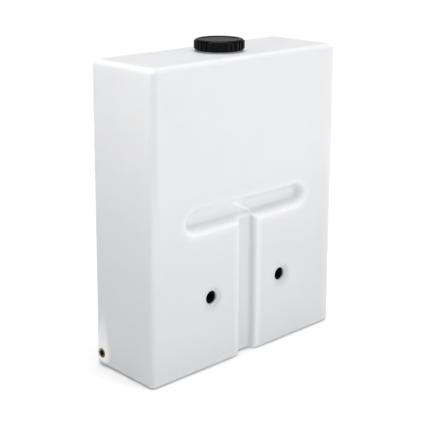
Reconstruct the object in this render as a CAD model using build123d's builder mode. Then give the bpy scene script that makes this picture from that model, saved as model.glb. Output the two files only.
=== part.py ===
"""Vented header tank in natural polyethylene: a tall slim moulded shell with a T-shaped recess,
two sleeved fixing holes right through it, a threaded metal outlet and a vented screw lid.

Millimetres. +Z is up, the front (with the recess) faces -Y and the outlet is on the -X side.
The origin is the centre of the base."""

import os
from math import radians, tan

from build123d import *

# Tank shell
HEIGHT = 900.0
MID_WIDTH = 737.0
MID_DEPTH = 255.0
WALL = 5.0
SIDE_DRAFT = 0.7
FRONT_DRAFT = 0.2
EDGE_RADIUS = 16.0

# T-shaped recess in the front
BAR_LENGTH = 486.0
BAR_HEIGHT = 76.0
BAR_CENTRE_Z = 459.0
BAR_DEPTH = 28.0
BAR_WALL_ANGLE = 12.0
STEM_WIDTH = 66.0
STEM_DEPTH = 20.0
STEM_WALL_ANGLE = 8.0
RECESS_LIP_RADIUS = 5.0
STEM_TOP_Z = 467.0
OVERRUN = 20.0
DISH_RIM_RISE = 1.0

# Fixing holes through the tank, and their sleeves
FIXING_X = 143.0
FIXING_Z = 217.0
SLEEVE_RADIUS = 20.0
SLEEVE_BORE_RADIUS = 16.0
SLEEVE_BORE_CHAMFER = 1.0
SLEEVE_SET_BACK = 13.0
DISH_RADIUS = 33.0
DISH_FLOOR_RADIUS = 22.0
DISH_DEPTH = 6.0

# Threaded outlet insert in its boss, low on the left side
OUTLET_Y = 93.7
OUTLET_Z = 44.0
OUTLET_PROUD = 6.5
OUTLET_RADIUS = 14.5
OUTLET_WAIST_RADIUS = 12.5
OUTLET_FLANGE = 4.0
OUTLET_LENGTH = 30.0
OUTLET_BORE_RADIUS = 9.3
OUTLET_CHAMFER = 0.8
OUTLET_BOSS_RADIUS = 28.0
OUTLET_BOSS_BURIED = 9.0
OUTLET_PAD_RADIUS = 20.0
OUTLET_PAD_TOP_Z = 72.0
OUTLET_TAIL_RADIUS = 5.0
OUTLET_TAIL_TOP_Z = 165.0

# Neck and its screw thread
NECK_RADIUS = 64.2
NECK_BORE_RADIUS = 59.5
NECK_TOP_Z = 927.8
THREAD_PITCH = 10.0
THREAD_HEIGHT = 2.6
THREAD_ROOT_WIDTH = 4.4
THREAD_CREST_WIDTH = 2.2
THREAD_EMBED = 0.8
NECK_THREAD_START_Z = 909.5
NECK_THREAD_TURNS = 1.2

# Lid
LID_BOTTOM_Z = 903.6
LID_TOP_Z = 934.8
LID_TOP_THICKNESS = 4.0
LID_SKIRT_RADIUS = 70.2
LID_SKIRT_CHAMFER = 0.8
LID_BORE_RADIUS = 67.5
LID_RIB_RADIUS = 73.0
LID_RIB_WIDTH = 6.0
LID_RIB_COUNT = 28
LID_RIB_EMBED = 1.0
LID_RIB_EDGE_RADIUS = 1.2
LID_RIB_BOTTOM_Z = 908.2
LID_RIB_TOP_Z = 929.6
LID_FLAT_RADIUS = 62.0
LID_DISH_RADIUS = 56.0
LID_DISH_DEPTH = 1.6
LID_DISH_SLOPE_WIDTH = 1.0
LID_THREAD_START_Z = 906.5
LID_THREAD_TURNS = 1.7

# Seal and vent parts in the lid
GASKET_OUTER_RADIUS = 67.0
GASKET_INNER_RADIUS = 58.0
VENT_BOSS_RADIUS = 14.0
VENT_SEAT_RADIUS = 11.0
VENT_BOSS_DEPTH = 7.0
VENT_HOLE_RADIUS = 1.5
VENT_HOLE_CIRCLE = 6.0
VENT_HOLE_COUNT = 6
VENT_FIT_GAP = 0.1
GAUZE_THICKNESS = 0.8
GAUZE_DROP = 2.0
RETAINER_HEIGHT = 3.0
RETAINER_BORE_RADIUS = 7.5


def side_at(z):
    """Distance from the centre plane to the left or right face at height z."""
    return MID_WIDTH / 2 + (HEIGHT / 2 - z) * tan(radians(SIDE_DRAFT))


def front_at(z):
    """Distance from the centre plane to the front or back face at height z."""
    return MID_DEPTH / 2 + (HEIGHT / 2 - z) * tan(radians(FRONT_DRAFT))


# Values that follow from those above
LID_UNDERSIDE_Z = LID_TOP_Z - LID_TOP_THICKNESS
FRONT_AT_BAR = front_at(BAR_CENTRE_Z)
FACE_AT_FIXING = front_at(FIXING_Z)
SIDE_AT_OUTLET = side_at(OUTLET_Z)
OUTLET_FACE_X = -(SIDE_AT_OUTLET + OUTLET_PROUD)
SLEEVE_LENGTH = 2 * (FACE_AT_FIXING - SLEEVE_SET_BACK)
GASKET_THICKNESS = LID_UNDERSIDE_Z - NECK_TOP_Z


def drafted_block(inset):
    """The tank's outer form, or with an inset the form of the water space inside it."""
    low, high = inset, HEIGHT - inset
    with BuildPart() as block:
        with BuildSketch(Plane.XZ):
            with BuildLine():
                Polyline((inset - side_at(low), low), (side_at(low) - inset, low),
                         (side_at(high) - inset, high), (inset - side_at(high), high), close=True)
            make_face()
        extrude(amount=MID_DEPTH, both=True)
        with BuildSketch(Plane.YZ):
            with BuildLine():
                Polyline((inset - front_at(low), low), (front_at(low) - inset, low),
                         (front_at(high) - inset, high), (inset - front_at(high), high), close=True)
            make_face()
        extrude(amount=MID_WIDTH, both=True, mode=Mode.INTERSECT)
        fillet(block.edges(), EDGE_RADIUS - inset)
    return block.part


def recess_form(grow):
    """The T-shaped space in front of the recess, or with grow the form that keeps a wall behind it."""
    bar_in = BAR_DEPTH * tan(radians(BAR_WALL_ANGLE))
    stem_in = STEM_DEPTH * tan(radians(STEM_WALL_ANGLE))
    floor_half = STEM_WIDTH / 2 - stem_in + grow
    mouth_half = floor_half + (STEM_DEPTH + grow + OVERRUN) * tan(radians(STEM_WALL_ANGLE))
    bar_floor = Plane(origin=(0, -FRONT_AT_BAR + BAR_DEPTH + grow, BAR_CENTRE_Z),
                      x_dir=(1, 0, 0), z_dir=(0, -1, 0))
    with BuildPart() as form:
        with BuildSketch(bar_floor):
            SlotOverall(BAR_LENGTH - 2 * bar_in + 2 * grow, BAR_HEIGHT - 2 * bar_in + 2 * grow)
        extrude(amount=BAR_DEPTH + OVERRUN + grow, taper=-BAR_WALL_ANGLE)
        with BuildSketch(Plane(origin=(0, -FRONT_AT_BAR, -OVERRUN))):
            with BuildLine():
                Polyline((-mouth_half, -OVERRUN),
                         (-floor_half, STEM_DEPTH + grow),
                         (floor_half, STEM_DEPTH + grow),
                         (mouth_half, -OVERRUN),
                         close=True)
            make_face()
        extrude(amount=STEM_TOP_Z + OVERRUN)
    return form.part


def through_form(radius, dish_grow):
    """One straight hole from front to back with a shallow dish at each end, for each fixing."""
    half = FACE_AT_FIXING + OVERRUN
    rim = FACE_AT_FIXING + DISH_RIM_RISE
    with BuildPart() as form:
        for side in (-1, 1):
            with BuildSketch(Plane(origin=(side * FIXING_X, half, FIXING_Z), z_dir=(0, -1, 0))):
                Circle(radius)
            extrude(amount=2 * half)
            for face in (-1, 1):
                floor_y = face * (FACE_AT_FIXING - DISH_DEPTH - dish_grow)
                with BuildSketch(Plane(origin=(side * FIXING_X, floor_y, FIXING_Z), z_dir=(0, face, 0))):
                    Circle(DISH_FLOOR_RADIUS + dish_grow)
                with BuildSketch(Plane(origin=(side * FIXING_X, face * rim, FIXING_Z), z_dir=(0, face, 0))):
                    Circle(DISH_RADIUS + dish_grow)
                loft()
    return form.part


def teardrop(radius, tip_radius, tip_z):
    """A circle round the outlet joined by straight sides to a smaller circle above it."""
    with BuildSketch(mode=Mode.PRIVATE) as drop:
        with BuildLine():
            CenterArc((0, 0), radius, 0, 360)
            CenterArc((0, tip_z - OUTLET_Z), tip_radius, 0, 360)
        make_hull()
    return drop.sketch


def outlet_plane(x, direction):
    """A plane across the outlet's axis at x, facing along +X or -X."""
    return Plane(origin=(x, OUTLET_Y, OUTLET_Z), x_dir=(0, -1, 0), z_dir=(direction, 0, 0))


def outlet_boss_form():
    """The solid boss round the outlet, fading upwards into the side wall."""
    with BuildPart() as boss:
        with BuildSketch(outlet_plane(-SIDE_AT_OUTLET + OUTLET_BOSS_BURIED, -1)):
            add(teardrop(OUTLET_BOSS_RADIUS, OUTLET_TAIL_RADIUS, OUTLET_TAIL_TOP_Z))
        with BuildSketch(outlet_plane(OUTLET_FACE_X, -1)):
            add(teardrop(OUTLET_PAD_RADIUS, OUTLET_TAIL_RADIUS / 2, OUTLET_PAD_TOP_Z))
        loft()
        with BuildSketch(outlet_plane(OUTLET_FACE_X + OUTLET_LENGTH, -1)):
            Circle(OUTLET_PAD_RADIUS)
        extrude(amount=OUTLET_LENGTH - OUTLET_BOSS_BURIED)
    return boss.part


def outlet_blank():
    """The outlet insert without its bore: two flanges with a waist that the tank is moulded round."""
    with BuildPart() as blank:
        with BuildSketch(outlet_plane(OUTLET_FACE_X, 1)):
            Circle(OUTLET_WAIST_RADIUS)
        extrude(amount=OUTLET_LENGTH)
        with BuildSketch(outlet_plane(OUTLET_FACE_X, 1),
                         outlet_plane(OUTLET_FACE_X + OUTLET_LENGTH - OUTLET_FLANGE, 1)):
            Circle(OUTLET_RADIUS)
        extrude(amount=OUTLET_FLANGE)
    return blank.part


def thread_ridge(radius, outward, start_z, turns, phase):
    """One turn after another of a coarse right-hand ridge on a round wall, outwards or inwards."""
    rise = outward * THREAD_HEIGHT
    root = -outward * THREAD_EMBED
    with BuildPart() as ridge:
        with BuildLine() as path:
            Helix(pitch=THREAD_PITCH, height=THREAD_PITCH * turns, radius=radius, center=(0, 0, start_z))
        section = Plane(origin=path.line @ 0, x_dir=(1, 0, 0), z_dir=path.line % 0)
        with BuildSketch(section):
            with BuildLine():
                Polyline((root, -THREAD_ROOT_WIDTH / 2), (rise, -THREAD_CREST_WIDTH / 2),
                         (rise, THREAD_CREST_WIDTH / 2), (root, THREAD_ROOT_WIDTH / 2), close=True)
            make_face()
        sweep(path=path.line, is_frenet=True)
    return ridge.part.rotate(Axis.Z, phase)


def ring(outer_radius, inner_radius, bottom_z, height):
    """A plain ring about the neck axis."""
    with BuildPart() as body:
        with BuildSketch(Plane.XY.offset(bottom_z)):
            Circle(outer_radius)
            Circle(inner_radius, mode=Mode.SUBTRACT)
        extrude(amount=height)
    return body.part


# Forms shared by the shell and its water space
outer_form = drafted_block(0)
inner_form = drafted_block(WALL)
recess = recess_form(0)
recess_backing = recess_form(WALL)
fixing_holes = through_form(SLEEVE_RADIUS, 0)
fixing_tubes = through_form(SLEEVE_RADIUS + WALL, WALL)
outlet_boss = outlet_boss_form()
insert_blank = outlet_blank()
neck_thread = thread_ridge(NECK_RADIUS, 1, NECK_THREAD_START_Z, NECK_THREAD_TURNS, 0)

# Water space
with BuildPart() as water_space:
    add(inner_form)
    add(recess_backing, mode=Mode.SUBTRACT)
    add(fixing_tubes, mode=Mode.SUBTRACT)
    add(outlet_boss, mode=Mode.SUBTRACT)

# Tank shell: the whole moulding, with its neck, recess, fixing tubes and outlet boss
with BuildPart() as tank_shell:
    add(outer_form)
    add(recess, mode=Mode.SUBTRACT)
    lips = [edge for edge in tank_shell.edges()
            if abs(edge.center().Y + front_at(edge.center().Z)) < 1.0
            and abs(edge.center().X) < BAR_LENGTH / 2
            and EDGE_RADIUS < edge.center().Z < HEIGHT - EDGE_RADIUS]
    fillet(lips, RECESS_LIP_RADIUS)
    add(outlet_boss)
    with BuildSketch(Plane.XY.offset(HEIGHT - WALL)):
        Circle(NECK_RADIUS)
    extrude(amount=NECK_TOP_Z - HEIGHT + WALL)
    add(neck_thread)
    add(water_space.part, mode=Mode.SUBTRACT)
    with BuildSketch(Plane.XY.offset(HEIGHT - 2 * WALL)):
        Circle(NECK_BORE_RADIUS)
    extrude(amount=NECK_TOP_Z - HEIGHT + 3 * WALL, mode=Mode.SUBTRACT)
    add(fixing_holes, mode=Mode.SUBTRACT)
    add(insert_blank, mode=Mode.SUBTRACT)
tank_shell.part.label = "tank_shell"

# Outlet insert
with BuildPart() as outlet_insert:
    add(insert_blank)
    with BuildSketch(outlet_plane(OUTLET_FACE_X, 1)):
        Circle(OUTLET_BORE_RADIUS)
    extrude(amount=OUTLET_LENGTH, mode=Mode.SUBTRACT)
    mouth = outlet_insert.edges().filter_by(GeomType.CIRCLE).sort_by(Axis.X)[0:2]
    chamfer(mouth, OUTLET_CHAMFER)
outlet_insert.part.label = "outlet_insert"


def fixing_sleeve(x):
    """One black sleeve, set back from both faces of the tank."""
    with BuildPart() as sleeve:
        with BuildSketch(Plane(origin=(x, SLEEVE_LENGTH / 2, FIXING_Z), z_dir=(0, -1, 0))):
            Circle(SLEEVE_RADIUS)
            Circle(SLEEVE_BORE_RADIUS, mode=Mode.SUBTRACT)
        extrude(amount=SLEEVE_LENGTH)
        chamfer(sleeve.edges().filter_by(GeomType.CIRCLE).filter_by(
            lambda edge: edge.radius == SLEEVE_BORE_RADIUS), SLEEVE_BORE_CHAMFER)
    return sleeve.part


left_fixing_sleeve = fixing_sleeve(-FIXING_X)
left_fixing_sleeve.label = "left_fixing_sleeve"
right_fixing_sleeve = fixing_sleeve(FIXING_X)
right_fixing_sleeve.label = "right_fixing_sleeve"

# Lid: ribbed cap with a dished top, an internal thread and a vent boss underneath
half_turn_z = NECK_THREAD_START_Z - THREAD_PITCH / 2
lid_thread_phase = 360.0 * (LID_THREAD_START_Z - half_turn_z) / THREAD_PITCH
lid_thread = thread_ridge(LID_BORE_RADIUS, -1, LID_THREAD_START_Z, LID_THREAD_TURNS, lid_thread_phase)
with BuildPart() as lid:
    with BuildSketch(Plane.XZ):
        with BuildLine():
            Polyline((0, LID_UNDERSIDE_Z), (LID_BORE_RADIUS, LID_UNDERSIDE_Z),
                     (LID_BORE_RADIUS, LID_BOTTOM_Z), (LID_SKIRT_RADIUS - LID_SKIRT_CHAMFER, LID_BOTTOM_Z),
                     (LID_SKIRT_RADIUS, LID_BOTTOM_Z + LID_SKIRT_CHAMFER), (LID_SKIRT_RADIUS, LID_RIB_TOP_Z))
            EllipticalCenterArc((LID_FLAT_RADIUS, LID_RIB_TOP_Z), LID_SKIRT_RADIUS - LID_FLAT_RADIUS,
                                LID_TOP_Z - LID_RIB_TOP_Z, start_angle=0, arc_size=90)
            Polyline((LID_FLAT_RADIUS, LID_TOP_Z), (LID_DISH_RADIUS, LID_TOP_Z),
                     (LID_DISH_RADIUS - LID_DISH_SLOPE_WIDTH, LID_TOP_Z - LID_DISH_DEPTH), (0, LID_TOP_Z - LID_DISH_DEPTH),
                     (0, LID_UNDERSIDE_Z))
        make_face()
    revolve(axis=Axis.Z)
    with BuildSketch(Plane.XY.offset(LID_RIB_BOTTOM_Z)):
        with PolarLocations((LID_SKIRT_RADIUS + LID_RIB_RADIUS - LID_RIB_EMBED) / 2, LID_RIB_COUNT):
            Rectangle(LID_RIB_RADIUS - LID_SKIRT_RADIUS + LID_RIB_EMBED, LID_RIB_WIDTH)
    extrude(amount=LID_RIB_TOP_Z - LID_RIB_BOTTOM_Z)
    rib_edges = lid.edges().filter_by(lambda edge: (edge.center() - Vector(0, 0, edge.center().Z)).length
                                      > LID_RIB_RADIUS - LID_RIB_EDGE_RADIUS)
    fillet(rib_edges, LID_RIB_EDGE_RADIUS)
    add(lid_thread)
    with BuildSketch(Plane.XY.offset(LID_UNDERSIDE_Z - VENT_BOSS_DEPTH)):
        Circle(VENT_BOSS_RADIUS)
        Circle(VENT_SEAT_RADIUS, mode=Mode.SUBTRACT)
    extrude(amount=VENT_BOSS_DEPTH)
    with BuildSketch(Plane.XY.offset(LID_UNDERSIDE_Z)):
        with PolarLocations(VENT_HOLE_CIRCLE, VENT_HOLE_COUNT):
            Circle(VENT_HOLE_RADIUS)
    extrude(amount=LID_TOP_THICKNESS, mode=Mode.SUBTRACT)
lid.part.label = "lid"

# Lid seal
lid_gasket = ring(GASKET_OUTER_RADIUS, GASKET_INNER_RADIUS, NECK_TOP_Z, GASKET_THICKNESS)
lid_gasket.label = "lid_gasket"

# Vent gauze and the ring that holds it in the boss
with BuildPart() as vent_gauze:
    with BuildSketch(Plane.XY.offset(LID_UNDERSIDE_Z - GAUZE_DROP - GAUZE_THICKNESS)):
        Circle(VENT_SEAT_RADIUS - VENT_FIT_GAP)
    extrude(amount=GAUZE_THICKNESS)
vent_gauze.part.label = "vent_gauze"
retainer_z = LID_UNDERSIDE_Z - GAUZE_DROP - GAUZE_THICKNESS - RETAINER_HEIGHT
vent_retainer = ring(VENT_SEAT_RADIUS - VENT_FIT_GAP, RETAINER_BORE_RADIUS, retainer_z, RETAINER_HEIGHT)
vent_retainer.label = "vent_retainer"

os.makedirs("parts", exist_ok=True)
for piece in (tank_shell.part, outlet_insert.part, left_fixing_sleeve, right_fixing_sleeve,
              lid.part, lid_gasket, vent_gauze.part, vent_retainer):
    export_step(piece, f"parts/{piece.label}.step")
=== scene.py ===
"""The looks of the vented header tank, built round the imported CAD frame. Metres, +Z up."""
import math

import bpy
import bmesh
import numpy as np
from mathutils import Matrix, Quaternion, Vector


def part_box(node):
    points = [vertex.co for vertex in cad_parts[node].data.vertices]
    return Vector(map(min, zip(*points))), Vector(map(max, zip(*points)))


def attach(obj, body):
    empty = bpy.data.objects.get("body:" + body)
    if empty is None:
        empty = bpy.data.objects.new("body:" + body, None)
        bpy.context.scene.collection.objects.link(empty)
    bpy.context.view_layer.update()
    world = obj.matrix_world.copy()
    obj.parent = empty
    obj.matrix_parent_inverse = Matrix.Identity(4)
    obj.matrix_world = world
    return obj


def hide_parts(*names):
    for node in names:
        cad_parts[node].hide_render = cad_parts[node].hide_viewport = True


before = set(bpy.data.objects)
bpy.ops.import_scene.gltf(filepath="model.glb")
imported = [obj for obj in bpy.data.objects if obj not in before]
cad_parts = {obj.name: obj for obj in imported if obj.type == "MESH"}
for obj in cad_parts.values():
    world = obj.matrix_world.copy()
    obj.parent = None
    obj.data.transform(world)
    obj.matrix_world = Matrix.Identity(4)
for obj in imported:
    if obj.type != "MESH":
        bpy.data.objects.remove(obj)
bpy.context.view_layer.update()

# ---------------------------------------------------------------- sizes, from the frame where it has them
_, SHELL_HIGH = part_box("tank_shell")
SLEEVE_LOW, SLEEVE_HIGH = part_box("right_fixing_sleeve")
INSERT_LOW, INSERT_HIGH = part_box("outlet_insert")

HEIGHT = 0.9
SIDE_SLOPE = math.tan(math.radians(0.7))
FRONT_SLOPE = math.tan(math.radians(0.2))
EDGE_RADIUS = 0.016
WALL = 0.005
MID_HALF_WIDTH = 0.3685
MID_HALF_DEPTH = 0.1275

BAR_Z = 0.459
BAR_HALF_LENGTH = 0.205
BAR_RADIUS = 0.038
BAR_DEPTH = 0.028
BAR_SLOPE = 1.7
BAR_BOTTOM = BAR_Z - BAR_RADIUS
STEM_HALF_WIDTH = 0.037
STEM_DEPTH = 0.020
STEM_SLOPE = 2.2
STEM_TOP = 0.440
TOP_SLOPE = 1.5
LIP_SOFTNESS = 0.013
FLOOR_SOFTNESS = 0.012
MEETING_SOFTNESS = 0.004
RIDGE_FROM = (0.026, 0.442)
RIDGE_TO = (-0.036, 0.477)
RIDGE_REACH = 0.010
RIDGE_HEIGHT = 0.003
# Line of the painted glow along the stem's step
STEP_FROM = (-0.034, 0.432)
STEP_TO = (-0.010, 0.436)
STEP_REACH = 0.007

FIXING_X = (SLEEVE_LOW.x + SLEEVE_HIGH.x) / 2
FIXING_Z = (SLEEVE_LOW.z + SLEEVE_HIGH.z) / 2
SLEEVE_RADIUS = (SLEEVE_HIGH.x - SLEEVE_LOW.x) / 2
MOUTH_LIP = 0.003
DISH_RADIUS = 0.034
DISH_DEPTH = 0.006

OUTLET_Y = (INSERT_LOW.y + INSERT_HIGH.y) / 2
OUTLET_Z = (INSERT_LOW.z + INSERT_HIGH.z) / 2
OUTLET_RADIUS = (INSERT_HIGH.y - INSERT_LOW.y) / 2
OUTLET_PROUD = 0.0062
BOSS_TOP = 0.165
BOSS_RADIUS = 0.036
BOSS_TAIL_RADIUS = 0.010
POCKET_GAP = 0.001
POCKET_BEVEL = 0.0003

NECK_RADIUS = 0.0642
NECK_BORE = 0.0595
NECK_TOP = SHELL_HIGH.z
NECK_ROOT = 0.003
NECK_INNER_ROOT = 0.002
NECK_RIM_RADIUS = 0.0015
NECK_BORE_RINGS = (0.915, 0.905)
THREAD_PITCH = 0.010
THREAD_HEIGHT = 0.0026
THREAD_HALF_FOOT = 0.0024
THREAD_FLANK = 0.0014
THREAD_START = 0.9095
THREAD_TURNS = 1.2
THREAD_FADE = 0.06

# How far the pressed forms carry into the body from its faces
PRESS_KEPT = 0.02
PRESS_FADE = 0.07
BOSS_FADE = 0.06

# Square gaps left in the grids of the faces, as half sides, and where the grids are finer
OUTLET_GAP = 0.0235
FIXING_GAP = 0.050
NECK_GAP = 0.085
STEM_WALL_LINES = (0.026, 0.042, 0.060)
BAR_END_LINE = 0.250
BAR_WALL_LINES = (0.415, 0.440, 0.482, 0.505)
OUTLET_SIDE_STRIP = 0.020
CLOSEST_LINES = 0.0006

# Painted light and shade on the plastic, in parts of the ramp from painted shade in a hollow at 0 to a
# painted highlight on a lip at 1
PLAIN_TONE = 0.5
FRONT_LIMIT_Y = -0.05
LIP_REACH = 0.007
LIP_CURVE = 0.0044
LIP_TONE = 0.5
HALO_REACH = 0.024
HALO_CURVE = 0.005
HALO_TONE = 0.30
HALO_DEPTH = 0.004
# Painted light on the bar's floors, and painted shade on the stem's floor and round the holes
LEFT_FLOOR_TONE = 0.45
RIGHT_FLOOR_TONE = 0.20
STEM_FLOOR_TONE = -0.18
HOLE_TONE = -0.45
HOLE_TONE_RADIUS = 0.050
HOLE_TONE_WIDTH = 0.030
# Painted shade towards the bottom and painted light higher up
TONE_HEIGHTS = (0, 0.30, 0.55, 0.85, 0.884, 0.90)
TONE_BY_HEIGHT = (-0.25, -0.12, 0.28, 0.15, 0.10, 0.0)
# Painted highlights on the left side, the top edges, the right upright edges and the outlet's pad, and
# painted shade on the left upright edges
LEFT_SIDE_TONE = 0.40
TOP_EDGE_TONE = 0.5
RIGHT_EDGE_TONE = 0.4
LEFT_EDGE_TONE = -0.6
BOSS_TONE = 0.5

# Painted glow on the plastic, as emission strength, where light would come through its walls
STEEP = 1.5
FOOT_GLOW = 0.07
LOWER_LIP_GLOW = 0.10
LEFT_LIP_GLOW = 0.10
STEM_GLOW = 0.055
BAR_END_GLOW = 0.03
RIDGE_GLOW = 0.07
STEP_GLOW = 0.10
TOP_EDGE_GLOW = 0.08
BOSS_GLOW = 0.13


# ---------------------------------------------------------------- the moulded form as functions
def smooth_min(a, b, k):
    """The lower of two values, rounded where they cross within k."""
    h = np.clip(0.5 + 0.5 * (b - a) / k, 0, 1)
    return b * (1 - h) + a * h - k * h * (1 - h)


def smooth_max(a, b, k):
    return -smooth_min(-a, -b, k)


def smooth_step(t):
    """0 to 1 over t from 0 to 1, level at both ends."""
    t = np.clip(t, 0, 1)
    return t * t * (3 - 2 * t)


def near_line(x, z, start, end, reach):
    """1 on a line between two points of the front, falling to 0 at a distance."""
    span = np.subtract(end, start)
    along = np.clip(((x - start[0]) * span[0] + (z - start[1]) * span[1]) / span.dot(span), 0, 1)
    away = np.hypot(x - start[0] - along * span[0], z - start[1] - along * span[1])
    return smooth_step(1 - away / reach)


def ridge(x, z):
    """The low slanting ridge on the floor of the bar, from the stem's right corner."""
    return near_line(x, z, RIDGE_FROM, RIDGE_TO, RIDGE_REACH)


def recess_depth(x, z):
    """How far the T-shaped recess presses the front in at a point."""
    along = np.clip(x, -BAR_HALF_LENGTH, BAR_HALF_LENGTH)
    bar = (BAR_RADIUS - np.hypot(x - along, z - BAR_Z)) * BAR_SLOPE
    bar = smooth_min(bar, BAR_DEPTH, FLOOR_SOFTNESS)
    stem = (STEM_HALF_WIDTH - np.abs(x)) * STEM_SLOPE
    stem = smooth_min(stem, STEM_DEPTH, FLOOR_SOFTNESS)
    stem = smooth_min(stem, (STEM_TOP - z) * TOP_SLOPE + STEM_DEPTH, FLOOR_SOFTNESS)
    both = smooth_max(bar, stem, MEETING_SOFTNESS)
    return smooth_max(both, 0.0, LIP_SOFTNESS) - RIDGE_HEIGHT * ridge(x, z)


def from_fixing(x, z):
    """Distance from the nearer fixing hole's axis."""
    return np.hypot(np.abs(x) - FIXING_X, z - FIXING_Z)


def dish_depth(x, z):
    """The shallow dish round each fixing hole."""
    width = DISH_RADIUS - SLEEVE_RADIUS - MOUTH_LIP
    return DISH_DEPTH * smooth_step((DISH_RADIUS - from_fixing(x, z)) / width)


def boss_height(y, z):
    """The pad round the outlet, with a tail that fades upwards."""
    rise = np.clip((z - OUTLET_Z) / (BOSS_TOP - OUTLET_Z), 0, 1)
    away = np.hypot(y - OUTLET_Y, np.minimum(z - OUTLET_Z, 0))
    reach = BOSS_RADIUS * (1 - rise) + BOSS_TAIL_RADIUS * rise
    return OUTLET_PROUD * (1 - rise) ** 1.3 * smooth_step((reach - away) / (0.45 * reach))


def moulded(x, y, z, inset):
    """A point of the sharp box pulled onto the rounded, drafted and pressed form of the wall."""
    w, d, low, high = MID_HALF_WIDTH - inset, MID_HALF_DEPTH - inset, inset, HEIGHT - inset
    r = EDGE_RADIUS - inset
    p = np.stack([x, y, z], 1)
    q = np.stack([np.clip(x, r - w, w - r), np.clip(y, r - d, d - r), np.clip(z, low + r, high - r)], 1)
    out = p - q
    p = q + out * (r / np.maximum(np.linalg.norm(out, axis=1), 1e-9))[:, None]
    lean = HEIGHT / 2 - p[:, 2]
    px, py, pz = p[:, 0] * (1 + lean * SIDE_SLOPE / w), p[:, 1] * (1 + lean * FRONT_SLOPE / d), p[:, 2]
    near_front = 1 - smooth_step((py + d - PRESS_KEPT) / PRESS_FADE)
    near_back = 1 - smooth_step((d - py - PRESS_KEPT) / PRESS_FADE)
    near_left = 1 - smooth_step((px + w - PRESS_KEPT) / BOSS_FADE)
    dish = dish_depth(px, pz)
    moved_y = py + near_front * (recess_depth(px, pz) + dish) - near_back * dish
    moved_x = px - near_left * boss_height(py, pz) * (0 if inset else 1)
    return np.stack([moved_x, moved_y, pz], 1)


def thread_rise(angle, z):
    """Height of the neck's helical thread over the plain wall."""
    turn = np.mod(angle, 2 * math.pi) / (2 * math.pi)
    at = np.round((z - THREAD_START) / THREAD_PITCH - turn) + turn
    off = np.abs(z - THREAD_START - THREAD_PITCH * at)
    ends = smooth_step(at / THREAD_FADE + 0.2) * smooth_step((THREAD_TURNS - at) / THREAD_FADE + 0.2)
    return THREAD_HEIGHT * ends * smooth_step((THREAD_HALF_FOOT - off) / THREAD_FLANK)


# ---------------------------------------------------------------- painted light, shade and glow on the plastic
def ring_depth(x, z, radius):
    """Mean depth of the recess on a ring round each point. It is more than at the point on a convex lip."""
    turns = np.linspace(0, 2 * math.pi, 13)[:-1]
    depths = [recess_depth(x + radius * math.cos(a), z + radius * math.sin(a)) for a in turns]
    return sum(depths) / len(depths)


def front_painted_light_and_shade(x, z):
    """Painted highlights on the lips round the recess and painted shade in its concave corners, with a wide
    painted halo, painted light on the bar's two floors, and painted shade on the stem's floor and in rings
    round the holes.
    """
    here = recess_depth(x, z)
    pressed = here - STEM_DEPTH / 2
    upper = 1 - 0.85 * smooth_step((z - BAR_Z) / BAR_RADIUS)
    in_bar = smooth_step((z - BAR_BOTTOM + 0.004) / 0.014)
    lips = np.clip((ring_depth(x, z, LIP_REACH) - here) / LIP_CURVE, -LIP_TONE, LIP_TONE * upper)
    halo = np.clip((ring_depth(x, z, HALO_REACH) - here) / HALO_CURVE, 0, 1) * (here < HALO_DEPTH)
    bar_floor = np.where(x > 0, RIGHT_FLOOR_TONE, LEFT_FLOOR_TONE) * smooth_step(pressed / 0.012) * in_bar
    stem_floor = STEM_FLOOR_TONE * smooth_step(pressed / 0.006) * (1 - in_bar)
    holes = HOLE_TONE * smooth_step((HOLE_TONE_RADIUS - from_fixing(x, z)) / HOLE_TONE_WIDTH)
    return lips + HALO_TONE * upper * halo + bar_floor + stem_floor + holes


def on_boss(x, y, z):
    """1 on the middle of the outlet's pad, fading with its height; it masks the painted highlight and painted
    glow there.
    """
    return (boss_height(y, z) / OUTLET_PROUD) ** 0.6 * (x < EDGE_RADIUS - MID_HALF_WIDTH)


def painted_light_and_shade(x, y, z):
    """How light the plastic is painted: 1 for painted highlights on convex lips, 0 for painted shade in
    hollows, with painted shade lower down and painted highlights on edges.
    """
    near_side = smooth_step((np.abs(x) - MID_HALF_WIDTH + 2 * EDGE_RADIUS) / EDGE_RADIUS)
    near_face = smooth_step((np.abs(y) - MID_HALF_DEPTH + 1.2 * EDGE_RADIUS) / EDGE_RADIUS)
    near_top = smooth_step((z - HEIGHT + 1.2 * EDGE_RADIUS) / EDGE_RADIUS)
    left_side = (x < 0.01 - MID_HALF_WIDTH) * smooth_step((z - 0.5) / 0.3)
    upright = np.where(x > 0, RIGHT_EDGE_TONE, LEFT_EDGE_TONE * smooth_step((z - 0.4) / 0.3))
    # Painted shade towards the bottom, painted highlights on the left side, the edges and the outlet's pad,
    # and painted shade high on the left upright edges
    value = PLAIN_TONE + front_painted_light_and_shade(x, z) * (y < FRONT_LIMIT_Y) + np.interp(z, TONE_HEIGHTS, TONE_BY_HEIGHT)
    value += LEFT_SIDE_TONE * left_side + TOP_EDGE_TONE * near_side * near_top
    value += upright * near_side * near_face + BOSS_TONE * on_boss(x, y, z)
    return np.clip(value, 0, 1)


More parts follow.
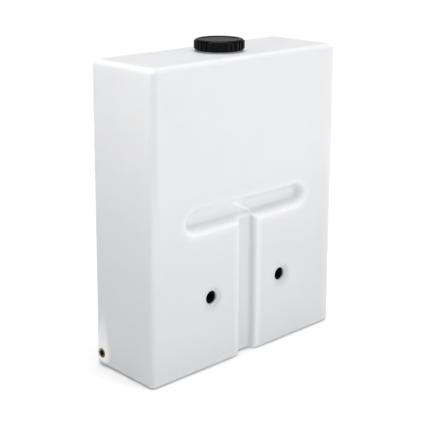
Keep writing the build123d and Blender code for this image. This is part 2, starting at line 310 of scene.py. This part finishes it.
def front_glow(x, z):
    """Painted glow on the recess's walls, most on the bar's lower lip, and on its ridge and along the stem's
    step.
    """
    step = 0.002
    up = (recess_depth(x, z + step) - recess_depth(x, z - step)) / (2 * step)
    right = (recess_depth(x + step, z) - recess_depth(x - step, z)) / (2 * step)
    lip = 1 - recess_depth(x, z) / (1.3 * BAR_DEPTH)
    lower_wall = np.clip(up, 0, 1) * (FOOT_GLOW + LOWER_LIP_GLOW * lip * np.abs(lip))
    right_wall = np.where(z < BAR_BOTTOM, STEM_GLOW, BAR_END_GLOW) * np.clip(-right / STEEP, 0, 1)
    left_wall = LEFT_LIP_GLOW * np.clip(right / STEEP, 0, 1) * lip
    stem_step = STEP_GLOW * near_line(x, z, STEP_FROM, STEP_TO, STEP_REACH)
    return lower_wall + right_wall + left_wall + RIDGE_GLOW * ridge(x, z) + stem_step


def glow(x, y, z):
    """Painted glow on the recess, the left top edge and the outlet's pad."""
    near_left = smooth_step((1.5 * EDGE_RADIUS - x - MID_HALF_WIDTH) / EDGE_RADIUS)
    near_top = smooth_step((z - HEIGHT + 1.3 * EDGE_RADIUS) / EDGE_RADIUS)
    return (front_glow(x, z) * (y < FRONT_LIMIT_Y) + TOP_EDGE_GLOW * near_left * near_top
            + BOSS_GLOW * on_boss(x, y, z))


# ---------------------------------------------------------------- mesh building
class Surface:
    """Collects rings and grids of points, welding points that fall together."""

    def __init__(self):
        self.points, self.faces, self.found = [], [], {}

    def add(self, places):
        made = []
        for p in places:
            key = (round(p[0] * 2e5), round(p[1] * 2e5), round(p[2] * 2e5))
            if key not in self.found:
                self.found[key] = len(self.points)
                self.points.append((float(p[0]), float(p[1]), float(p[2])))
            made.append(self.found[key])
        return made

    def face(self, *corners):
        kept = [c for n, c in enumerate(corners) if c != corners[n - 1]]
        if len(kept) > 2:
            self.faces.append(kept)

    def bridge(self, first, second):
        for n in range(len(first)):
            self.face(first[n - 1], first[n], second[n], second[n - 1])

    def grid(self, us, vs, place, gaps=()):
        """A grid of quads with square gaps; gives back each gap's edge as points in u and v."""
        u, v = np.meshgrid(us, vs, indexing="ij")
        ids = np.array(self.add(place(u.ravel(), v.ravel()))).reshape(u.shape)
        centre = lambda a, n: (a[n] + a[n + 1]) / 2
        inside = lambda i, j: any(abs(centre(us, i) - g[0]) < g[2] and abs(centre(vs, j) - g[1]) < g[2]
                                  for g in gaps)
        for i in range(len(us) - 1):
            for j in range(len(vs) - 1):
                if not inside(i, j):
                    self.face(ids[i, j], ids[i + 1, j], ids[i + 1, j + 1], ids[i, j + 1])
        rims = []
        for cu, cv, half in gaps:
            a = us[(us > cu - half - 1e-6) & (us < cu + half + 1e-6)]
            b = vs[(vs > cv - half - 1e-6) & (vs < cv + half + 1e-6)]
            rim = [(s, b[0]) for s in a[:-1]] + [(a[-1], t) for t in b[:-1]]
            rim += [(s, b[-1]) for s in a[:0:-1]] + [(a[0], t) for t in b[:0:-1]]
            rims.append(np.array(rim))
        return rims

    def patch(self, rim, centre, radius, place, rings):
        """Fills a square gap with rings that close in on a circle. Gives back the circle and its angles."""
        off = rim - np.array(centre)
        angle = np.arctan2(off[:, 1], off[:, 0])
        circle = np.array(centre) + radius * np.stack([np.cos(angle), np.sin(angle)], 1)
        last = self.add(place(rim[:, 0], rim[:, 1]))
        for n in range(1, rings + 1):
            t = n / rings
            at = rim * (1 - t) + circle * t
            ring = self.add(place(at[:, 0], at[:, 1]))
            self.bridge(last, ring)
            last = ring
        return last, angle

    def object(self, name, material):
        mesh = bpy.data.meshes.new(name)
        mesh.from_pydata(self.points, [], self.faces)
        bm = bmesh.new()
        bm.from_mesh(mesh)
        bmesh.ops.recalc_face_normals(bm, faces=bm.faces)
        bm.to_mesh(mesh)
        bm.free()
        mesh.shade_smooth()
        mesh.materials.append(material)
        made = bpy.data.objects.new(name, mesh)
        bpy.context.scene.collection.objects.link(made)
        return made


def spread(*stretches):
    """Grid lines from stretches of (start, end, number of steps), each starting where the last ended."""
    lines = [np.linspace(a, b, n + 1)[:-1] for a, b, n in stretches]
    return np.concatenate([*lines, [stretches[-1][1]]])


def edge_lines(start, radius, steps, sign):
    """Lines over half a rounded edge, evenly spaced round its arc."""
    return start + sign * radius * np.tan(np.linspace(0, math.pi / 4, steps + 1))[1:]


def tank_lines(inset, fine):
    """Grid lines along X, Y and Z. The lines round each gap are the same inside and out."""
    w, d, low, high = MID_HALF_WIDTH - inset, MID_HALF_DEPTH - inset, inset, HEIGHT - inset
    r, n = EDGE_RADIUS - inset, 6 if fine else 3
    k = 1 if fine else 2
    near, far = FIXING_X - FIXING_GAP, FIXING_X + FIXING_GAP
    foot, lip, beside = STEM_WALL_LINES
    side = spread((0, foot, 12), (foot, lip, 20), (lip, beside, 6), (beside, NECK_GAP, 8),
                  (NECK_GAP, near, 3 // k), (near, far, 24), (far, BAR_END_LINE, 48 // k),
                  (BAR_END_LINE, w - r, 8 // k))
    side = np.concatenate([side, edge_lines(w - r, r, n, 1)])
    xs = np.concatenate([-side[:0:-1], side])
    patch_low, patch_high = OUTLET_Y - OUTLET_GAP, OUTLET_Y + OUTLET_GAP
    strip = patch_low - OUTLET_SIDE_STRIP
    ys = spread((r - d, -NECK_GAP, 3), (-NECK_GAP, strip, 12), (strip, patch_low, 4),
                (patch_low, NECK_GAP, 5), (NECK_GAP, d - r, 7))
    bend = edge_lines(d - r, r, n + 2, 1)
    bend = bend[np.abs(bend - patch_high) > CLOSEST_LINES]
    ys = np.sort(np.concatenate([edge_lines(r - d, r, n, -1), ys, bend, [patch_high]]))
    lower_lip, lower_foot, upper_foot, upper_lip = BAR_WALL_LINES
    outlet_low, outlet_high = OUTLET_Z - OUTLET_GAP, OUTLET_Z + OUTLET_GAP
    fixing_low, fixing_high = FIXING_Z - FIXING_GAP, FIXING_Z + FIXING_GAP
    zs = spread((low + r, outlet_low, 1), (outlet_low, outlet_high, 10), (outlet_high, fixing_low, 20 // k),
                (fixing_low, fixing_high, 24), (fixing_high, lower_lip, 12 // k),
                (lower_lip, lower_foot, 26 // k), (lower_foot, upper_foot, 20 // k),
                (upper_foot, upper_lip, 24 // k), (upper_lip, high - r, 20 // k))
    zs = np.concatenate([edge_lines(low + r, r, n, -1)[::-1], zs, edge_lines(high - r, r, n, 1)])
    return xs, ys, zs


def lay_faces(surface, inset, fine):
    """The six sides of the moulding, and the rims of the gaps left in them."""
    xs, ys, zs = tank_lines(inset, fine)
    w, d, low, high = MID_HALF_WIDTH - inset, MID_HALF_DEPTH - inset, inset, HEIGHT - inset
    places = {
        "front": lambda u, v: moulded(u, np.full_like(u, -d), v, inset),
        "back": lambda u, v: moulded(u, np.full_like(u, d), v, inset),
        "left": lambda u, v: moulded(np.full_like(u, -w), u, v, inset),
        "right": lambda u, v: moulded(np.full_like(u, w), u, v, inset),
        "top": lambda u, v: moulded(u, v, np.full_like(u, high), inset),
        "base": lambda u, v: moulded(u, v, np.full_like(u, low), inset)}
    fixings = [(-FIXING_X, FIXING_Z, FIXING_GAP), (FIXING_X, FIXING_Z, FIXING_GAP)]
    rims = {
        "front": surface.grid(xs, zs, places["front"], fixings),
        "back": surface.grid(xs, zs, places["back"], fixings),
        "left": surface.grid(ys, zs, places["left"], [(OUTLET_Y, OUTLET_Z, OUTLET_GAP)]),
        "right": surface.grid(ys, zs, places["right"]),
        "top": surface.grid(xs, ys, places["top"], [(0, 0, NECK_GAP)]),
        "base": surface.grid(xs, ys, places["base"])}
    return places, rims


def lay_tube(surface, places, rims, which, radius, lip, rings):
    """One tube from front to back, with rounded mouths."""
    x = FIXING_X * (1 if which else -1)
    ends = []
    for face, sign in (("front", -1), ("back", 1)):
        ring, angle = surface.patch(rims[face][which], (x, FIXING_Z), radius + lip, places[face], rings)
        mouth_y = np.mean([surface.points[n][1] for n in ring])
        for bend in np.linspace(0, math.pi / 2, 6)[1:]:
            r = radius + lip - lip * math.sin(bend)
            y = mouth_y - sign * lip * (1 - math.cos(bend))
            nxt = surface.add(np.stack([x + r * np.cos(angle), np.full_like(angle, y),
                                        FIXING_Z + r * np.sin(angle)], 1))
            surface.bridge(ring, nxt)
            ring = nxt
        ends.append(ring)
    surface.bridge(ends[0], ends[1])


def lay_outlet(surface, places, rims, inner_places, inner_rims):
    """The outlet's pocket, which the insert fills, from the outer wall to the inner one."""
    centre = (OUTLET_Y, OUTLET_Z)

    def circle(angle, x, radius):
        return surface.add(np.stack([np.full_like(angle, x), OUTLET_Y + radius * np.cos(angle),
                                     OUTLET_Z + radius * np.sin(angle)], 1))

    ring, angle = surface.patch(rims["left"][0], centre, OUTLET_RADIUS + POCKET_GAP, places["left"], 5)
    for x, radius in ((INSERT_LOW.x + POCKET_BEVEL, OUTLET_RADIUS + POCKET_BEVEL),
                      (INSERT_LOW.x + POCKET_GAP, OUTLET_RADIUS), (INSERT_HIGH.x, OUTLET_RADIUS)):
        nxt = circle(angle, x, radius)
        surface.bridge(ring, nxt)
        ring = nxt
    inner, angle = surface.patch(inner_rims["left"][0], centre, OUTLET_RADIUS + WALL + POCKET_GAP,
                                 inner_places["left"], 2)
    nxt = circle(angle, INSERT_HIGH.x, OUTLET_RADIUS + WALL)
    surface.bridge(inner, nxt)
    surface.bridge(nxt, ring)


def neck_profile():
    """Radius and height of each ring of the neck, up its outside, over its rim and down its bore."""
    rim = NECK_RIM_RADIUS
    inside = HEIGHT - WALL + NECK_INNER_ROOT
    profile = [(NECK_RADIUS + NECK_ROOT * (1 - math.sin(b)), HEIGHT + NECK_ROOT * (1 - math.cos(b)))
               for b in np.linspace(0, math.pi / 2, 5)[1:]]
    profile += [(NECK_RADIUS, z) for z in np.linspace(HEIGHT + NECK_ROOT, NECK_TOP - rim, 42)[1:]]
    profile += [(NECK_RADIUS - rim * (1 - math.cos(b)), NECK_TOP - rim * (1 - math.sin(b)))
                for b in np.linspace(0, math.pi / 2, 5)[1:]]
    profile += [(NECK_BORE + rim * (1 - math.sin(b)), NECK_TOP - rim * (1 - math.cos(b)))
                for b in np.linspace(0, math.pi / 2, 5)]
    profile += [(NECK_BORE, z) for z in (*NECK_BORE_RINGS, inside)]
    profile += [(NECK_BORE + NECK_INNER_ROOT * (1 - math.cos(b)), inside - NECK_INNER_ROOT * math.sin(b))
                for b in np.linspace(0, math.pi / 2, 4)[1:-1]]
    return profile


def lay_neck(surface, places, rims, inner_places, inner_rims):
    """The neck with its thread and its mouth, from the outer wall to the inner one."""
    ring, angle = surface.patch(rims["top"][0], (0, 0), NECK_RADIUS + NECK_ROOT, places["top"], 5)
    inner, _ = surface.patch(inner_rims["top"][0], (0, 0), NECK_BORE + NECK_INNER_ROOT,
                             inner_places["top"], 5)
    for radius, z in neck_profile():
        outside = radius > NECK_RADIUS - 1e-6 and HEIGHT + NECK_ROOT < z < NECK_TOP
        r = radius + (thread_rise(angle, z) if outside else 0)
        nxt = surface.add(np.stack([r * np.cos(angle), r * np.sin(angle), np.full_like(angle, z)], 1))
        surface.bridge(ring, nxt)
        ring = nxt
    surface.bridge(ring, inner)


def build_tank(material):
    """The double-walled tank, with the painted light and shade and the painted glow of each of its points."""
    surface = Surface()
    places, rims = lay_faces(surface, 0, True)
    inner_places, inner_rims = lay_faces(surface, WALL, False)
    for which in (0, 1):
        lay_tube(surface, places, rims, which, SLEEVE_RADIUS, MOUTH_LIP, 11)
        lay_tube(surface, inner_places, inner_rims, which, SLEEVE_RADIUS + WALL, MOUTH_LIP, 4)
    lay_outlet(surface, places, rims, inner_places, inner_rims)
    lay_neck(surface, places, rims, inner_places, inner_rims)
    tank = surface.object("moulded_tank", material)
    x, y, z = np.array(surface.points).T
    for name, values in (("painted_light_and_shade", painted_light_and_shade(x, y, z)), ("glow", glow(x, y, z))):
        attribute = tank.data.attributes.new(name, "FLOAT", "POINT")
        attribute.data.foreach_set("value", values.astype(np.float32))
    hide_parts("tank_shell")
    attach(tank, "tank")


# ---------------------------------------------------------------- materials
class Paint:
    """A Principled material built from nodes in object space, with lengths in metres."""

    def __init__(self, name, **sockets):
        self.material = bpy.data.materials.new(name)
        self.material.use_nodes = True
        self.tree = self.material.node_tree
        self.shader = self.tree.nodes["Principled BSDF"]
        self.shader.inputs["Subsurface Radius"].default_value = (1, 1, 1)
        for key, value in sockets.items():
            self.shader.inputs[key.replace("_", " ")].default_value = value
        self.place = self.tree.nodes.new("ShaderNodeTexCoord").outputs["Object"]

    def noise(self, scale, detail=4.0, stretch=(1, 1, 1)):
        """Cloudy noise with a number of cells to the metre."""
        mapping = self.tree.nodes.new("ShaderNodeMapping")
        mapping.inputs["Scale"].default_value = stretch
        self.tree.links.new(self.place, mapping.inputs["Vector"])
        node = self.tree.nodes.new("ShaderNodeTexNoise")
        node.inputs["Scale"].default_value = scale
        node.inputs["Detail"].default_value = detail
        self.tree.links.new(mapping.outputs["Vector"], node.inputs["Vector"])
        return node.outputs["Fac"]

    def attribute(self, name):
        """A value carried by the mesh's points."""
        node = self.tree.nodes.new("ShaderNodeAttribute")
        node.attribute_name = name
        return node.outputs["Fac"]

    def ramp(self, value, *stops):
        """Colours, or greys, at places along a value."""
        node = self.tree.nodes.new("ShaderNodeValToRGB")
        while len(node.color_ramp.elements) < len(stops):
            node.color_ramp.elements.new(0.5)
        for element, (at, colour) in zip(node.color_ramp.elements, stops):
            element.position = at
            element.color = (*colour, 1) if isinstance(colour, tuple) else (colour, colour, colour, 1)
        self.tree.links.new(value, node.inputs["Fac"])
        return node.outputs["Color"]

    def multiply(self, first, second):
        """Two colours multiplied."""
        node = self.tree.nodes.new("ShaderNodeMix")
        node.data_type = "RGBA"
        node.blend_type = "MULTIPLY"
        node.inputs["Factor"].default_value = 1
        self.tree.links.new(first, node.inputs["A"])
        self.tree.links.new(second, node.inputs["B"])
        return node.outputs["Result"]

    def finish(self, colour, roughness, height, depth):
        """Joins the colour, the roughness and a bump of some depth to the shader."""
        self.tree.links.new(colour, self.shader.inputs["Base Color"])
        self.tree.links.new(roughness, self.shader.inputs["Roughness"])
        bump = self.tree.nodes.new("ShaderNodeBump")
        bump.inputs["Distance"].default_value = depth
        self.tree.links.new(height, bump.inputs["Height"])
        self.tree.links.new(bump.outputs["Normal"], self.shader.inputs["Normal"])
        return self.material


def natural_polyethylene():
    """Milky tank plastic: painted highlights on its lips and painted shade in its hollows, faintly cloudy,
    with a satin orange-peel skin.
    """
    paint = Paint("natural_polyethylene", Subsurface_Weight=0.5, Subsurface_Scale=0.02,
                  Specular_IOR_Level=0.45, Emission_Color=(1, 1, 1, 1))
    # The ramp runs from painted shade in hollows to painted highlights on lips
    tone = paint.ramp(paint.attribute("painted_light_and_shade"), (0, (0.740, 0.748, 0.765)), (0.2, (0.805, 0.814, 0.831)),
                      (0.5, (0.860, 0.868, 0.886)), (1, (0.942, 0.950, 0.970)))
    # The painted glow drives the emission, so the plastic glows though it is no lamp
    paint.tree.links.new(paint.attribute("glow"), paint.shader.inputs["Emission Strength"])
    clouds = paint.ramp(paint.noise(9), (0.3, 0.985), (0.7, 1.0))
    gloss = paint.ramp(paint.noise(22), (0.3, 0.38), (0.7, 0.50))
    return paint.finish(paint.multiply(tone, clouds), gloss, paint.noise(320, 2), 0.00015)


def moulded_black(name, low, high, shine, matt, reflection):
    """Black moulded plastic with slightly uneven gloss and a fine grain."""
    paint = Paint(name, Specular_IOR_Level=reflection)
    colour = paint.ramp(paint.noise(60), (0.35, low), (0.65, high))
    gloss = paint.ramp(paint.noise(90), (0.3, shine), (0.7, matt))
    return paint.finish(colour, gloss, paint.noise(900, 2), 0.00006)


def tarnished_brass():
    """Dull brass, darker and rougher where it has tarnished, with fine turning marks."""
    paint = Paint("tarnished_brass", Metallic=1.0)
    tarnish = paint.noise(160, 6)
    colour = paint.ramp(tarnish, (0.35, (0.10, 0.075, 0.05)), (0.65, (0.36, 0.30, 0.21)))
    gloss = paint.ramp(tarnish, (0.35, 0.62), (0.65, 0.36))
    return paint.finish(colour, gloss, paint.noise(1500, 2, (0.1, 1, 1)), 0.00008)


def woven_steel():
    """Fine woven wire: crossing ribs with painted shade in the gaps between them."""
    paint = Paint("woven_steel_gauze", Metallic=0.9)
    ribs = []
    for direction in ("X", "Y"):
        wave = paint.tree.nodes.new("ShaderNodeTexWave")
        wave.bands_direction = direction
        wave.inputs["Scale"].default_value = 320
        paint.tree.links.new(paint.place, wave.inputs["Vector"])
        ribs.append(paint.ramp(wave.outputs["Fac"], (0, 0.0), (0.6, 1.0)))
    woven = paint.multiply(*ribs)
    colour = paint.ramp(woven, (0.1, (0.03, 0.03, 0.03)), (0.6, (0.55, 0.55, 0.56)))
    gloss = paint.ramp(paint.noise(200), (0.3, 0.30), (0.7, 0.45))
    return paint.finish(colour, gloss, woven, 0.0002)


build_tank(natural_polyethylene())
black_polypropylene = moulded_black("black_polypropylene", 0.0012, 0.0025, 0.12, 0.18, 0.10)
black_sleeve = moulded_black("black_sleeve", 0.002, 0.005, 0.7, 0.85, 0.3)
rubber = moulded_black("rubber_seal", 0.012, 0.022, 0.6, 0.75, 0.4)
brass = tarnished_brass()
gauze = woven_steel()

for node, material in (("lid", black_polypropylene), ("vent_retainer", black_polypropylene),
                       ("lid_gasket", rubber), ("left_fixing_sleeve", black_sleeve),
                       ("right_fixing_sleeve", black_sleeve), ("outlet_insert", brass),
                       ("vent_gauze", gauze)):
    cad_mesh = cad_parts[node].data
    cad_mesh.materials.clear()
    cad_mesh.materials.append(material)

# ---------------------------------------------------------------- floor, light and camera
bpy.context.scene.view_settings.view_transform = "Standard"

bpy.ops.mesh.primitive_plane_add(size=30, location=(0, 0, 0))
floor = bpy.context.object
floor.name = "floor"
floor_paint = Paint("floor_paint", Base_Color=(0.93, 0.93, 0.93, 1), Roughness=0.6,
                    Emission_Color=(1, 1, 1, 1), Emission_Strength=0.06)
floor.data.materials.append(floor_paint.material)

world = bpy.data.worlds.new("studio")
bpy.context.scene.world = world
world.use_nodes = True
world.node_tree.nodes["Background"].inputs["Color"].default_value = (1, 1, 1, 1)
world.node_tree.nodes["Background"].inputs["Strength"].default_value = 0.305


def lamp(name, kind, place, target, energy, **settings):
    """A lamp at a place that points at a target."""
    data = bpy.data.lights.new(name, kind)
    data.energy = energy
    for key, value in settings.items():
        setattr(data, key, value)
    light = bpy.data.objects.new(name, data)
    light.location = place
    light.rotation_euler = (Vector(target) - Vector(place)).to_track_quat("-Z", "Y").to_euler()
    light.visible_camera = False
    bpy.context.scene.collection.objects.link(light)
    return light


lamp("overhead", "SUN", (0, 0, 4), (0, 0, 0), 2.62, angle=math.radians(50))
lamp("left_softbox", "AREA", (-1.75, -0.19, 1.15), (-1.19, -0.51, 1.91), 13.1, shape="RECTANGLE",
     size=0.7, size_y=0.7)
lamp("front_softbox", "AREA", (0.33, -1.76, 1.15), (-0.22, -0.96, 1.38), 10.2, shape="RECTANGLE",
     size=0.7, size_y=0.7)
strip = lamp("right_strip", "AREA", (2.2, -1.19, 0.30), (0, 0, HEIGHT), 4, shape="RECTANGLE",
             size=0.10, size_y=0.6)
strip.visible_diffuse = False

CAMERA_AZIMUTH = math.radians(-43.34)
CAMERA_ELEVATION = math.radians(17.14)
CAMERA_ROLL = math.radians(0.14)
CAMERA_DISTANCE = 3.3764 * HEIGHT
CAMERA_TARGET = Vector((-0.0297 * HEIGHT, 0, 0.4698 * HEIGHT))
back = Vector((math.sin(CAMERA_AZIMUTH) * math.cos(CAMERA_ELEVATION),
               -math.cos(CAMERA_AZIMUTH) * math.cos(CAMERA_ELEVATION), math.sin(CAMERA_ELEVATION)))
camera_data = bpy.data.cameras.new("camera")
camera_data.lens = 86.6
camera_data.sensor_width = 36
camera = bpy.data.objects.new("camera", camera_data)
camera.location = CAMERA_TARGET + back * CAMERA_DISTANCE
look = (-back).to_track_quat("-Z", "Y")
camera.rotation_euler = (look @ Quaternion((0, 0, 1), CAMERA_ROLL)).to_euler()
bpy.context.scene.collection.objects.link(camera)
bpy.context.scene.camera = camera
